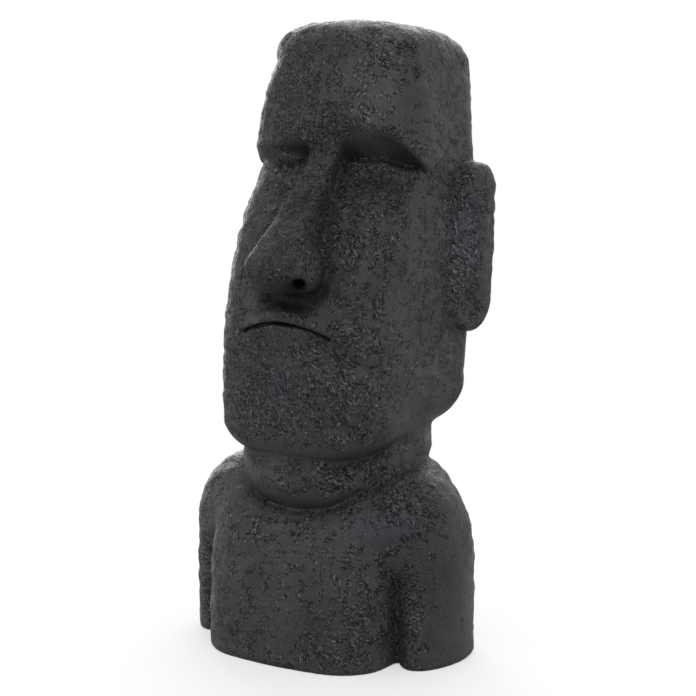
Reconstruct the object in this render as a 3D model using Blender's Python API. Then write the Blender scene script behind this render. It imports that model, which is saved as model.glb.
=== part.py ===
"""Cast moai garden statue: head, neck and shoulders in one piece, standing on a flat underside.

The form is one distance field, positive outside the stone. Each named volume below is a field,
join() fuses two of them with a fillet and trim() keeps what is inside both. The field is then
polygonised on a regular grid, thinned to its curvature and pressed flat at the base.

Metres, +Z up, face towards -Y. Only the brow differs from left to right, so every other volume
takes out, the distance to either side of the middle plane, in place of x. A pair named as a
reach or as heights gives the two places between which something fades in.
"""

import bpy
import numpy as np

NAME = "moai_statue"

# Overall
CROWN_HEIGHT = 0.5595
HEAD_HALF_WIDTH = 0.088
SHOULDER_HALF_WIDTH = 0.1355
SHOULDER_TOP = 0.185
CHEST_TOP = 0.148

# Head: height, half width, face, forehead and back of head as distances along Y
HEAD_STATIONS = (
    (0.150, 0.085, -0.071, -0.071, 0.104),
    (0.235, 0.087, -0.072, -0.072, 0.115),
    (0.300, HEAD_HALF_WIDTH, -0.067, -0.062, 0.121),
    (0.345, HEAD_HALF_WIDTH, -0.055, -0.048, 0.125),
    (0.395, HEAD_HALF_WIDTH, -0.032, -0.030, 0.128),
    (0.420, HEAD_HALF_WIDTH, -0.015, -0.022, 0.128),
    (0.445, HEAD_HALF_WIDTH, 0.003, -0.014, 0.127),
    (0.490, 0.083, 0.014, -0.004, 0.130),
    (0.530, 0.075, 0.020, 0.008, 0.137),
    (0.590, 0.065, 0.030, 0.024, 0.146),
)
FACE_BOW = 1.5
FOREHEAD_BOW = 1.2
NAPE_BOW = 1.0
CHEEK_CORNER = 0.040
BROW_CORNER = 0.038
NAPE_CORNER = 0.024
CROWN_BOW_OUT = 1.5
CROWN_BOW_ALONG = 2.4
CROWN_PEAK = 0.045
CROWN_EDGE = 0.020

# Brow: how far its edge drops on each side, and the stretch out from the middle where it does
BROW_EDGE = 0.472
BROW_LEFT = (0.011, 0.055, 0.090)
BROW_RIGHT = (0.019, -0.010, 0.040)
BROW_LOWEST = 0.430
BROW_SLOPE = 1.10
BROW_SLOPE_LOSS = 0.45
BROW_SLOPE_REACH = (0.050, 0.080)
BROW_ROUNDING = 0.015
BROW_END_ROUNDING = (0.003, 0.010)
BROW_END_REACH = (0.030, 0.065)
SEAM_FILLET = 0.006
SEAM_REACH = (0.080, 0.060)

# Eye sockets, lower lids and the cheeks below them
SOCKET_DEPTH = 0.022
SOCKET_BOW = 0.8
SOCKET_CORNER = 0.010
LID_HEIGHT = 0.4410
LID_DROP = 0.008
LID_TILT = 0.30
LID_REACH = (0.050, 0.080)
LID_EDGE = 0.002
CHEEK_INSET = 0.0025
INSET_HEIGHTS = (0.385, 0.415)
INSET_REACH = (0.0365, 0.0315)
TROUGH_DEPTH = 0.005
TROUGH_HEIGHTS = (0.365, 0.405)
TROUGH_REACH = (0.065, 0.030)

# Jaw: height of its lower edge on the middle plane, and its rise towards the nape and the sides
JAW_HEIGHT = 0.180
JAW_RISE_BACK = 0.13
JAW_RISE_OUT = 1.0
JAW_EDGE = 0.026

# Nose bar: height, half width, ridge
NOSE_STATIONS = (
    (0.320, 0.0250, -0.1050),
    (0.360, 0.0240, -0.0905),
    (0.382, 0.0198, -0.0690),
    (0.405, 0.0168, -0.0440),
    (0.430, 0.0143, -0.0200),
    (0.460, 0.0155, 0.0000),
)
NOSE_FLARE = 0.05
NOSE_BOW = 3.0
NOSE_EDGE = 0.004
NOSE_ROOT = 0.480
NOSE_ROOT_EDGE = 0.030
NOSE_BASE = 0.340
NOSE_BASE_EDGE = 0.020
NOSE_BACK = 0.030
NOSE_FILLET = 0.003
ROOT_FILLET = 0.014
ROOT_HEIGHTS = (0.442, 0.460)

# Lower end of the nose: ellipsoids as centre and half sizes, and each nostril as a round cone
NOSE_TIP = ((0.0, -0.0705, 0.3475), (0.0250, 0.0260, 0.0210))
NOSE_SOLE = ((0.0, -0.0620, 0.3390), (0.0310, 0.0320, 0.0120))
NOSE_WING = ((0.0190, -0.0660, 0.3490), (0.0165, 0.0250, 0.0210))
TIP_FILLET = 0.014
WING_FILLET = 0.004
NOSTRIL = ((0.0275, -0.0860, 0.3434), (0.0165, -0.0690, 0.3420), 0.0075, 0.0045)
NOSTRIL_EDGE = 0.004

# Mouth: each lip is a round cone from the middle to its corner
PHILTRUM = ((0.0, -0.0700, 0.3240), (0.0290, 0.0140, 0.0090))
PHILTRUM_EDGE = 0.008
UPPER_LIP = ((0.0, -0.0715, 0.3105), (0.0480, -0.0550, 0.2960), 0.0090, 0.0050)
LOWER_LIP = ((0.0, -0.0640, 0.2940), (0.0400, -0.0530, 0.2840), 0.0095, 0.0060)
UPPER_LIP_FILLET = 0.008
LOWER_LIP_FILLET = 0.014
LIP_SOFTNESS = 0.006
MOUTH_HEIGHT = 0.3035
MOUTH_HALF_WIDTH = 0.047
MOUTH_DROOP = 0.0130
MOUTH_CURVE = 1.7
MOUTH_GAP = 0.0032
MOUTH_DEPTH = 0.004
MOUTH_EDGE = 0.003

# Ear: a long plate, leaning forward at the foot, with a hollow that runs out at the top and back
EAR_MIDDLE = (0.0945, 0.3585)
EAR_HALF_SIZE = (0.0275, 0.0755)
EAR_CORNER = 0.027
EAR_LEAN = 0.08
EAR_OUTER = 0.1035
EAR_EDGE = 0.009
EAR_INNER = 0.060
EAR_FILLET = 0.004
HOLLOW_MIDDLE = (0.0770, 0.3570)
HOLLOW_HALF_SIZE = (0.0200, 0.0640)
HOLLOW_CORNER = 0.018
HOLLOW_FLOOR = 0.0940
HOLLOW_SLOPE = 0.27
HOLLOW_TOP = 0.370
HOLLOW_CURVE = 3.0
HOLLOW_EDGE = 0.008

# Neck: a collar that swells at mid height, the swell rising towards the nape
NECK_HALF_WIDTH = 0.084
NECK_FRONT = -0.0665
NECK_BACK = 0.092
NECK_FRONT_BOW = 4.8
NECK_BACK_BOW = 3.0
NECK_CORNER = 0.050
NECK_SWELL_HEIGHT = 0.160
NECK_SWELL_RISE = 0.22
NECK_TAPER = 3.0
NECK_UNDERCUT = 17.0
NECK_TOP = 0.235
NECK_FILLET = 0.004

# Chest: it bulges, rises beside the neck and narrows towards the top
CHEST_HALF_WIDTH = 0.092
CHEST_FRONT = -0.092
CHEST_FOLD = 0.020
CHEST_BACK = 0.081
CHEST_RISE = 0.013
CHEST_RISE_REACH = (0.020, 0.065)
CHEST_NARROWING = 0.3
CHEST_HEIGHTS = (0.03, 0.20)
CHEST_CURVE = 5.0
CHEST_FRONT_BOW = 1.5
CHEST_BACK_BOW = 2.0
CHEST_CORNER = 0.046

# Arms: straight up to the foot of the shoulder, then rounding over
SHOULDER_FOOT = 0.03
SHOULDER_CURVE = 5.8
SHOULDER_CUT = 0.170
ARM_FRONT = -0.040
ARM_FRONT_RECESS = 0.037
ARM_BACK = 0.076
ARM_BACK_RECESS = 0.040
ARM_BACK_BOW = 1.0
ARM_CENTRE = 0.114
ARM_ROUNDING = 26.0
ARM_ROUNDING_HEIGHTS = (0.14, 0.05)
ARM_FRONT_CORNER = 0.038
ARM_BACK_CORNER = 0.044
TOP_EDGE = 0.010

# Armpit and the slot between chest and arm, which runs out upwards
ARMPIT_FILLET = 0.005
ARMPIT_GROWTH = 0.035
ARMPIT_HEIGHTS = (0.070, 0.125)
CLEFT_PLACE = (0.0918, -0.0290)
CLEFT_RADIUS = 0.002
CLEFT_NARROWING = 0.6
CLEFT_RUN_OUT = 0.026
CLEFT_HEIGHTS = (0.060, 0.120)
CLEFT_TOP = 0.125
CLEFT_EDGE = 0.004

# Where the trunk meets the neck, and the base
COLLAR_FILLET = 0.004
NAPE_FILLET = 0.030
NAPE_DEPTHS = (0.03, 0.07)
NAPE_REACH = (0.07, 0.02)
BASE_OVERRUN = 0.001
BASE_RIM = 0.005
GRID_STEP = 0.003
TRIANGLES = 9600


def smoothstep(low, high, value):
    """0 on the low side, 1 on the high side, eased between."""
    t = np.clip((value - low) / (high - low), 0.0, 1.0)
    return t * t * (3.0 - 2.0 * t)


def join(first, second, fillet):
    """Both volumes, with a fillet where they meet."""
    near = np.maximum(fillet - np.abs(first - second), 0.0) / fillet
    return np.minimum(first, second) - near * near * fillet / 4.0


def trim(first, second, rounding):
    """What is inside both volumes, with the edge rounded."""
    return -join(-first, -second, rounding)


def loft(height, stations, column):
    """Smooth curve through one column of the stations, read at the given heights."""
    levels = np.array([row[0] for row in stations])
    values = np.array([row[column] for row in stations])
    slopes = np.gradient(values, levels)
    i = np.clip(np.searchsorted(levels, height) - 1, 0, len(levels) - 2)
    span = levels[i + 1] - levels[i]
    t = np.clip((height - levels[i]) / span, 0.0, 1.0)
    ease = t * t * (3.0 - 2.0 * t)
    start = t * (1.0 - t) ** 2 * span * slopes[i]
    end = t * t * (t - 1.0) * span * slopes[i + 1]
    return values[i] * (1.0 - ease) + values[i + 1] * ease + start + end


def bowed(out, distance, bow):
    """Distance to a wall that curves away from the middle plane, scaled to true length."""
    return (distance + bow * out**2) / np.sqrt(1.0 + (2.0 * bow * out) ** 2)


def slab(out, y, half, front, front_bow, back, back_bow, front_edge, back_edge):
    """Upright body with flat sides and bowed front and back."""
    body = trim(out - half, bowed(out, front - y, front_bow), front_edge)
    return trim(body, bowed(out, y - back, back_bow), back_edge)


def ellipsoid(out, y, z, centre, radii):
    offsets = [(v - c) / r for v, c, r in zip((out, y, z), centre, radii)]
    reach = np.sqrt(sum(o**2 for o in offsets))
    steepness = np.sqrt(sum((o / r) ** 2 for o, r in zip(offsets, radii)))
    return reach * (reach - 1.0) / np.maximum(steepness, 1e-9)


def round_cone(out, y, z, start, end, start_radius, end_radius):
    axis = np.subtract(end, start)
    offsets = [v - s for v, s in zip((out, y, z), start)]
    along = sum(o * a for o, a in zip(offsets, axis)) / float(axis @ axis)
    along = np.clip(along, 0.0, 1.0)
    distance = np.sqrt(sum((o - along * a) ** 2 for o, a in zip(offsets, axis)))
    return distance - (start_radius + (end_radius - start_radius) * along)


def lower_head(out, y, z, half, face, back):
    """Cheeks and jaw up to the lower lid, in front of the bed of the eye sockets."""
    inset = CHEEK_INSET * smoothstep(*INSET_HEIGHTS, z) * smoothstep(*INSET_REACH, y)
    front = face + TROUGH_DEPTH * smoothstep(*TROUGH_REACH, out) * smoothstep(*TROUGH_HEIGHTS, z)
    cheeks = slab(out, y, half - inset, front, FACE_BOW, back, NAPE_BOW, CHEEK_CORNER, NAPE_CORNER)
    depth = np.clip(bowed(out, y - face, -FACE_BOW), 0.0, 0.04)
    outer = smoothstep(*LID_REACH, out)
    lid = z - LID_HEIGHT + LID_DROP * outer + LID_TILT * depth * (1.0 - outer)
    bed = slab(out, y, half, SOCKET_DEPTH, SOCKET_BOW, back, NAPE_BOW, SOCKET_CORNER, NAPE_CORNER)
    return join(trim(cheeks, lid, LID_EDGE), bed, LID_EDGE)


def upper_head(x, y, z, half, forehead, back):
    """Forehead down to the brow, whose underside slopes back into the sockets."""
    out = np.abs(x)
    block = slab(out, y, half, forehead, FOREHEAD_BOW, back, NAPE_BOW, BROW_CORNER, NAPE_CORNER)
    left, right = (drop * smoothstep(start, end, out) for drop, start, end in (BROW_LEFT, BROW_RIGHT))
    slope = BROW_SLOPE - BROW_SLOPE_LOSS * smoothstep(*BROW_SLOPE_REACH, out)
    edge = BROW_EDGE - np.where(x > 0.0, left, right) - slope * np.maximum(y - forehead, 0.0)
    underside = (np.maximum(edge, BROW_LOWEST) - z) * 0.75
    end_rounding = np.where(x > 0.0, *BROW_END_ROUNDING)
    rounding = BROW_ROUNDING + (end_rounding - BROW_ROUNDING) * smoothstep(*BROW_END_REACH, out)
    return trim(block, underside, rounding)


def head(x, y, z):
    out = np.abs(x)
    half, face, forehead, back = (loft(z, HEAD_STATIONS, column) for column in (1, 2, 3, 4))
    lower = lower_head(out, y, z, half, face, back)
    upper = upper_head(x, y, z, half, forehead, back)
    seam = 0.0005 + (SEAM_FILLET - 0.0005) * smoothstep(*SEAM_REACH, out)
    crown = CROWN_HEIGHT - CROWN_BOW_OUT * out**2 - CROWN_BOW_ALONG * (y - CROWN_PEAK) ** 2
    block = trim(join(lower, upper, seam), z - crown, CROWN_EDGE)
    jaw = JAW_HEIGHT + JAW_RISE_BACK * (y + 0.05) + JAW_RISE_OUT * out**2
    return trim(block, jaw - z, JAW_EDGE)


def nose(out, y, z):
    half, ridge = (loft(z, NOSE_STATIONS, column) for column in (1, 2))
    side = out - half - NOSE_FLARE * (y - ridge)
    bar = trim(side, (ridge + NOSE_BOW * out**2 - y) * 0.715, NOSE_EDGE)
    bar = trim(bar, (z - NOSE_ROOT) * 0.8, NOSE_ROOT_EDGE)
    bar = trim(bar, NOSE_BASE - z, NOSE_BASE_EDGE)
    bar = trim(bar, y - NOSE_BACK, 0.002)
    made = join(bar, ellipsoid(out, y, z, *NOSE_TIP), TIP_FILLET)
    made = join(made, ellipsoid(out, y, z, *NOSE_SOLE), WING_FILLET)
    made = join(made, ellipsoid(out, y, z, *NOSE_WING), WING_FILLET)
    return trim(made, -round_cone(out, y, z, *NOSTRIL), NOSTRIL_EDGE)


def mouth_groove(out, y, z, surface):
    """Groove of even depth between the lips, dropping towards the corners."""
    line = MOUTH_HEIGHT - MOUTH_DROOP * (out / MOUTH_HALF_WIDTH) ** MOUTH_CURVE
    gap = trim(np.abs(z - line) - MOUTH_GAP, out - MOUTH_HALF_WIDTH, MOUTH_EDGE)
    return trim(np.maximum(gap, y), -surface - MOUTH_DEPTH, MOUTH_EDGE)


def lips(out, y, z, form):
    """The form with its philtrum, both lips and the groove between them."""
    form = trim(form, -ellipsoid(out, y, z, *PHILTRUM), PHILTRUM_EDGE)
    soft = np.sqrt(out**2 + LIP_SOFTNESS**2)
    form = join(form, round_cone(soft, y, z, *UPPER_LIP), UPPER_LIP_FILLET)
    form = join(form, round_cone(soft, y, z, *LOWER_LIP), LOWER_LIP_FILLET)
    return trim(form, -mouth_groove(out, y, z, form), 0.002)


def rounded_outline(across, up, half_sizes, corner):
    """Distance to a rounded rectangle about the origin, in its own plane."""
    wide = np.abs(across) - half_sizes[0] + corner
    tall = np.abs(up) - half_sizes[1] + corner
    outside = np.sqrt(np.maximum(wide, 0.0) ** 2 + np.maximum(tall, 0.0) ** 2)
    return outside + np.minimum(np.maximum(wide, tall), 0.0) - corner


def ear(out, y, z):
    along = y - EAR_LEAN * (z - EAR_MIDDLE[1])
    plate = (along - EAR_MIDDLE[0], z - EAR_MIDDLE[1])
    plate = rounded_outline(*plate, EAR_HALF_SIZE, EAR_CORNER)
    plate = trim(plate, out - EAR_OUTER, EAR_EDGE)
    hollow = (along - HOLLOW_MIDDLE[0], z - HOLLOW_MIDDLE[1])
    hollow = rounded_outline(*hollow, HOLLOW_HALF_SIZE, HOLLOW_CORNER)
    floor = HOLLOW_FLOOR + HOLLOW_SLOPE * (along - EAR_MIDDLE[0] + EAR_HALF_SIZE[0])
    floor = floor + HOLLOW_CURVE * np.maximum(z - HOLLOW_TOP, 0.0) ** 2
    hollow = trim(hollow, floor - out, 0.004)
    return trim(trim(plate, -hollow, HOLLOW_EDGE), EAR_INNER - out, 0.002)


def neck(out, y, z):
    swell = NECK_SWELL_HEIGHT + NECK_SWELL_RISE * np.clip(y - NECK_FRONT, 0.0, 0.12)
    tuck = np.where(z < swell, NECK_UNDERCUT, NECK_TAPER) * (z - swell) ** 2
    half = NECK_HALF_WIDTH - tuck
    front = NECK_FRONT + tuck
    collar = slab(
        out, y, half, front, NECK_FRONT_BOW, NECK_BACK, NECK_BACK_BOW, NECK_CORNER, NECK_CORNER
    )
    return trim(collar, z - NECK_TOP, TOP_EDGE)


def chest(out, y, z):
    top = CHEST_TOP + CHEST_RISE * smoothstep(*CHEST_RISE_REACH, out)
    rise = np.clip(z / top, 0.0, 1.0)
    front = CHEST_FOLD + (CHEST_FRONT - CHEST_FOLD) * np.sqrt(1.0 - rise**CHEST_CURVE)
    half = CHEST_HALF_WIDTH * np.sqrt(1.0 - CHEST_NARROWING * smoothstep(*CHEST_HEIGHTS, z) ** 2)
    body = slab(
        out, y, half, front, CHEST_FRONT_BOW, CHEST_BACK, CHEST_BACK_BOW, CHEST_CORNER, CHEST_CORNER
    )
    return trim(body, z - top, TOP_EDGE)


def arms(out, y, z):
    """Both arms and the shoulders over them, which round over towards the neck."""
    rise = np.clip((z - SHOULDER_FOOT) / (SHOULDER_TOP - SHOULDER_FOOT), 0.0, 0.98)
    half = SHOULDER_HALF_WIDTH * np.sqrt(1.0 - rise**SHOULDER_CURVE)
    front = ARM_FRONT + ARM_FRONT_RECESS * rise**5
    back = ARM_BACK - ARM_BACK_RECESS * rise**4
    roundness = ARM_ROUNDING * smoothstep(*ARM_ROUNDING_HEIGHTS, z)
    sleeve = (front - y + roundness * (out - ARM_CENTRE) ** 2) / 1.1
    sleeve = trim(out - half, sleeve, ARM_FRONT_CORNER)
    sleeve = trim(sleeve, bowed(out, y - back, ARM_BACK_BOW), ARM_BACK_CORNER)
    return trim(sleeve, z - SHOULDER_CUT, TOP_EDGE)


def cleft(out, y, z):
    """Slot between the chest and an arm, open to the front and running out at the armpit."""
    away = smoothstep(*CLEFT_HEIGHTS, z)
    bottom = CLEFT_PLACE[1] - CLEFT_RUN_OUT * away
    across = np.sqrt((out - CLEFT_PLACE[0]) ** 2 + np.maximum(y - bottom, 0.0) ** 2)
    return trim(across - CLEFT_RADIUS * (1.0 - CLEFT_NARROWING * away), z - CLEFT_TOP, 0.002)


def trunk(out, y, z):
    armpit = ARMPIT_FILLET + ARMPIT_GROWTH * smoothstep(*ARMPIT_HEIGHTS, z)
    body = join(chest(out, y, z), arms(out, y, z), armpit)
    return trim(body, -cleft(out, y, z), CLEFT_EDGE)


def statue(x, y, z):
    """The whole statue. It overruns the base a little, which is pressed flat afterwards."""
    out = np.abs(x)
    root = NOSE_FILLET + ROOT_FILLET * smoothstep(*ROOT_HEIGHTS, z)
    form = lips(out, y, z, join(head(x, y, z), nose(out, y, z), root))
    form = join(form, ear(out, y, z), EAR_FILLET)
    form = join(form, neck(out, y, z), NECK_FILLET)
    nape = smoothstep(*NAPE_DEPTHS, y) * smoothstep(*NAPE_REACH, out)
    form = join(form, trunk(out, y, z), COLLAR_FILLET + NAPE_FILLET * nape)
    return trim(form, -BASE_OVERRUN - z, BASE_RIM)


def sample_field(low, high):
    """Field values on a regular grid between two corners."""
    counts = np.ceil((high - low) / GRID_STEP).astype(int) + 1
    lines = [low[i] + GRID_STEP * np.arange(counts[i]) for i in range(3)]
    return statue(*np.meshgrid(*lines, indexing="ij"))


def cell_corners(grid):
    """The eight views of the grid that hold each cell's corner values, keyed by corner."""
    views = {}
    for corner in np.ndindex(2, 2, 2):
        span = tuple(slice(c, c + n - 1) for c, n in zip(corner, grid.shape))
        views[corner] = grid[span]
    return views


def surface_points(field, low):
    """One point in each cell the surface crosses, and the number of the point in every cell."""
    inside = field < 0.0
    filled = sum(view.astype(int) for view in cell_corners(inside).values())
    crossed = (filled > 0) & (filled < 8)
    numbers = np.full(crossed.shape, -1)
    numbers[crossed] = np.arange(np.count_nonzero(crossed))
    values = {corner: view[crossed] for corner, view in cell_corners(field).items()}
    total = np.zeros((np.count_nonzero(crossed), 3))
    hits = np.zeros(len(total))
    for start in values:
        for axis in range(3):
            end = tuple(c + (i == axis) for i, c in enumerate(start))
            if end not in values:
                continue
            crossing = (values[start] < 0.0) != (values[end] < 0.0)
            drop = np.where(crossing, values[start] - values[end], 1.0)
            point = np.tile(np.array(start, float), (len(total), 1))
            point[:, axis] += values[start] / drop
            total[crossing] += point[crossing]
            hits[crossing] += 1.0
    points = (np.argwhere(crossed) + total / hits[:, None]) * GRID_STEP + low
    return points, numbers


def surface_quads(field, numbers):
    """A face for every grid edge that runs through the surface, turned to face outwards."""
    inside = field < 0.0
    faces = []
    for axis in range(3):
        side, up = (axis + 1) % 3, (axis + 2) % 3
        first = [slice(1, -1)] * 3
        second = [slice(1, -1)] * 3
        first[axis], second[axis] = slice(0, -1), slice(1, None)
        here, there = inside[tuple(first)], inside[tuple(second)]
        for leaving, order in ((here & ~there, 1), (there & ~here, -1)):
            edges = np.argwhere(leaving)
            edges[:, [side, up]] += 1
            ring = []
            for step_side, step_up in ((1, 1), (0, 1), (0, 0), (1, 0))[::order]:
                cell = edges.copy()
                cell[:, side] -= step_side
                cell[:, up] -= step_up
                ring.append(numbers[tuple(cell.T)])
            faces.append(np.stack(ring, axis=1))
    return np.concatenate(faces)


def raw_mesh():
    reach = GRID_STEP * np.ceil(SHOULDER_HALF_WIDTH / GRID_STEP + 2.0)
    low = np.array([-reach, -0.120, -0.012])
    high = np.array([reach, 0.150, CROWN_HEIGHT + 0.010])
    field = sample_field(low, high)
    points, numbers = surface_points(field, low)
    mesh = bpy.data.meshes.new(NAME)
    mesh.from_pydata(points.tolist(), [], surface_quads(field, numbers).tolist())
    return mesh


def thinned(obj, triangles):
    """The object's mesh collapsed to about the given number of triangles."""
    count = sum(len(face.vertices) - 2 for face in obj.data.polygons)
    collapse = obj.modifiers.new("collapse", "DECIMATE")
    collapse.ratio = triangles / count
    graph = bpy.context.evaluated_depsgraph_get()
    mesh = bpy.data.meshes.new_from_object(obj.evaluated_get(graph))
    obj.modifiers.remove(collapse)
    return mesh


def flatten_base(mesh):
    """Bring everything under the base up to it, which leaves a flat underside."""
    for vertex in mesh.vertices:
        vertex.co.z = max(vertex.co.z, 0.0)


def charcoal():
    material = bpy.data.materials.new("charcoal_stone")
    material.use_nodes = True
    shader = material.node_tree.nodes["Principled BSDF"]
    shader.inputs["Base Color"].default_value = (0.045, 0.043, 0.045, 1.0)
    shader.inputs["Roughness"].default_value = 0.75
    return material


def build():
    for old in list(bpy.data.objects):
        bpy.data.objects.remove(old, do_unlink=True)
    obj = bpy.data.objects.new(NAME, raw_mesh())
    bpy.context.scene.collection.objects.link(obj)
    obj.data = thinned(obj, TRIANGLES)
    flatten_base(obj.data)
    obj.data.materials.append(charcoal())
    obj.data.shade_smooth()


build()
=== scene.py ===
"""Look of the cast moai statue: charcoal stone with a rough, hand-worked skin, in a pale studio.

The form is the CAD part's distance field, positive outside the stone, meshed finely here, with a
finer mouth groove and finer nostrils. Lumps, folds, wrinkles and pits are pushed into the mesh.
Tool strokes, grit and pinholes are not in the mesh: they are bump and tone in the stone, the tone
being painted shade in grooves and pinholes and painted glints on ridges. The stone's colour also
holds painted shade in hollows, painted light and shade at listed places and a painted violet sheen.

Metres, +Z up, face towards -Y, so the statue's left is +X. out is the distance to either side of
the middle plane. A pair such as a reach, heights or an edge gives the two values between which
something fades in. In the form, a scale or a steepness turns a slanting wall's offset into its
distance.
"""

import bpy
import numpy as np
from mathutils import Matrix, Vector


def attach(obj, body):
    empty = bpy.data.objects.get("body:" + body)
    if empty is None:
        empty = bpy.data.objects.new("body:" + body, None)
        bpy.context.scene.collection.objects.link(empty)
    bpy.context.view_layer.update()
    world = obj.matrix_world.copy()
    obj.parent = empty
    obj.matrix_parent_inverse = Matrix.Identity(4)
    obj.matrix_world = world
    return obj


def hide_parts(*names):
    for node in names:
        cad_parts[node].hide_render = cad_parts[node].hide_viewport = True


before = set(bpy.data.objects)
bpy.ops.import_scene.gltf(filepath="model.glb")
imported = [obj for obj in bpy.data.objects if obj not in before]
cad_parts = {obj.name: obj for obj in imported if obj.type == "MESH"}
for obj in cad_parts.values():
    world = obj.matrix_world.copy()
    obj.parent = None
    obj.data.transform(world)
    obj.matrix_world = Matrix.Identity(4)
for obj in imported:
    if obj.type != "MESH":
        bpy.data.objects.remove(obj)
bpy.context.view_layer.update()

PIECE = "statue"
NODE = "moai_statue"
SLOT = "charcoal_stone"

# Overall
SHARP_EDGE = 0.002
CROWN_HEIGHT = 0.5595
HEAD_HALF_WIDTH = 0.088
SHOULDER_HALF_WIDTH = 0.1355
SHOULDER_TOP = 0.185
CHEST_TOP = 0.148

# Head: height, half width, face, forehead and back of head as distances along Y
HEAD_STATIONS = (
    (0.150, 0.085, -0.071, -0.071, 0.104),
    (0.235, 0.087, -0.072, -0.072, 0.115),
    (0.300, HEAD_HALF_WIDTH, -0.067, -0.062, 0.121),
    (0.345, HEAD_HALF_WIDTH, -0.055, -0.048, 0.125),
    (0.395, HEAD_HALF_WIDTH, -0.032, -0.030, 0.128),
    (0.420, HEAD_HALF_WIDTH, -0.015, -0.022, 0.128),
    (0.445, HEAD_HALF_WIDTH, 0.003, -0.014, 0.127),
    (0.490, 0.083, 0.014, -0.004, 0.130),
    (0.530, 0.075, 0.020, 0.008, 0.137),
    (0.590, 0.065, 0.030, 0.024, 0.146),
)
FACE_BOW = 1.5
FOREHEAD_BOW = 1.2
NAPE_BOW = 1.0
CHEEK_CORNER = 0.040
BROW_CORNER = 0.038
NAPE_CORNER = 0.024
CROWN_BOW_OUT = 1.5
CROWN_BOW_ALONG = 2.4
CROWN_PEAK = 0.045
CROWN_EDGE = 0.020

# Brow: how far its edge drops on each side, and the stretch out from the middle where it does
BROW_EDGE = 0.472
BROW_LEFT = (0.011, 0.055, 0.090)
BROW_RIGHT = (0.019, -0.010, 0.040)
BROW_LOWEST = 0.430
BROW_SLOPE = 1.10
BROW_SLOPE_LOSS = 0.45
BROW_SLOPE_REACH = (0.050, 0.080)
UNDERSIDE_SCALE = 0.75
BROW_ROUNDING = 0.015
BROW_END_ROUNDING = (0.003, 0.010)
BROW_END_REACH = (0.030, 0.065)
SEAM_EDGE = 0.0005
SEAM_FILLET = 0.006
SEAM_REACH = (0.080, 0.060)

# Eye sockets, lower lids and the cheeks below them
SOCKET_DEPTH = 0.022
SOCKET_BOW = 0.8
SOCKET_CORNER = 0.010
LID_HEIGHT = 0.4410
LID_DROP = 0.008
LID_TILT = 0.30
LID_DEPTH = 0.04
LID_REACH = (0.050, 0.080)
LID_EDGE = 0.002
CHEEK_INSET = 0.0025
INSET_HEIGHTS = (0.385, 0.415)
INSET_REACH = (0.0365, 0.0315)
TROUGH_DEPTH = 0.005
TROUGH_HEIGHTS = (0.365, 0.405)
TROUGH_REACH = (0.065, 0.030)

# Jaw: height of its lower edge on the middle plane, and its rise towards the nape and the sides
JAW_HEIGHT = 0.180
JAW_FRONT = -0.05
JAW_RISE_BACK = 0.13
JAW_RISE_OUT = 1.0
JAW_EDGE = 0.026

# Nose bar: height, half width, ridge
NOSE_STATIONS = (
    (0.320, 0.0250, -0.1050),
    (0.360, 0.0240, -0.0905),
    (0.382, 0.0198, -0.0690),
    (0.405, 0.0168, -0.0440),
    (0.430, 0.0143, -0.0200),
    (0.460, 0.0155, 0.0000),
)
NOSE_FLARE = 0.05
NOSE_BOW = 3.0
NOSE_SCALE = 0.715
NOSE_EDGE = 0.004
NOSE_ROOT = 0.480
NOSE_ROOT_EDGE = 0.030
NOSE_ROOT_SCALE = 0.8
NOSE_BASE = 0.340
NOSE_BASE_EDGE = 0.020
NOSE_BACK = 0.030
NOSE_FILLET = 0.003
ROOT_FILLET = 0.014
ROOT_HEIGHTS = (0.442, 0.460)

# Lower end of the nose: ellipsoids as centre and half sizes, and each nostril as a round cone
NOSE_TIP = ((0.0, -0.0705, 0.3475), (0.0250, 0.0260, 0.0210))
NOSE_SOLE = ((0.0, -0.0620, 0.3390), (0.0310, 0.0320, 0.0120))
NOSE_WING = ((0.0190, -0.0660, 0.3490), (0.0165, 0.0250, 0.0210))
TIP_FILLET = 0.014
WING_FILLET = 0.004
NOSTRIL = ((0.0265, -0.0860, 0.3385), (0.0120, -0.0620, 0.3440), 0.0060, 0.0040)
NOSTRIL_EDGE = 0.007

# Mouth: each lip is a round cone from the middle to its corner
PHILTRUM = ((0.0, -0.0700, 0.3240), (0.0290, 0.0140, 0.0090))
PHILTRUM_EDGE = 0.008
UPPER_LIP = ((0.0, -0.0715, 0.3105), (0.0480, -0.0550, 0.2960), 0.0090, 0.0050)
LOWER_LIP = ((0.0, -0.0640, 0.2940), (0.0400, -0.0530, 0.2840), 0.0095, 0.0060)
UPPER_LIP_FILLET = 0.008
LOWER_LIP_FILLET = 0.014
LIP_SOFTNESS = 0.006
MOUTH_HEIGHT = 0.3035
MOUTH_HALF_WIDTH = 0.047
MOUTH_DROOP = 0.0130
MOUTH_CURVE = 1.7
MOUTH_GAP = 0.0012
MOUTH_DEPTH = 0.006
MOUTH_EDGE = 0.003

# Ear: a long plate, leaning forward at the foot, with a hollow that runs out at the top and back
EAR_MIDDLE = (0.0945, 0.3585)
EAR_HALF_SIZE = (0.0275, 0.0755)
EAR_CORNER = 0.027
EAR_LEAN = 0.08
EAR_OUTER = 0.1035
EAR_EDGE = 0.009
EAR_INNER = 0.060
EAR_FILLET = 0.004
HOLLOW_MIDDLE = (0.0770, 0.3570)
HOLLOW_HALF_SIZE = (0.0200, 0.0640)
HOLLOW_CORNER = 0.018
HOLLOW_FLOOR = 0.0940
HOLLOW_SLOPE = 0.27
HOLLOW_TOP = 0.370
HOLLOW_CURVE = 3.0
HOLLOW_FLOOR_EDGE = 0.004
HOLLOW_EDGE = 0.008

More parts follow.
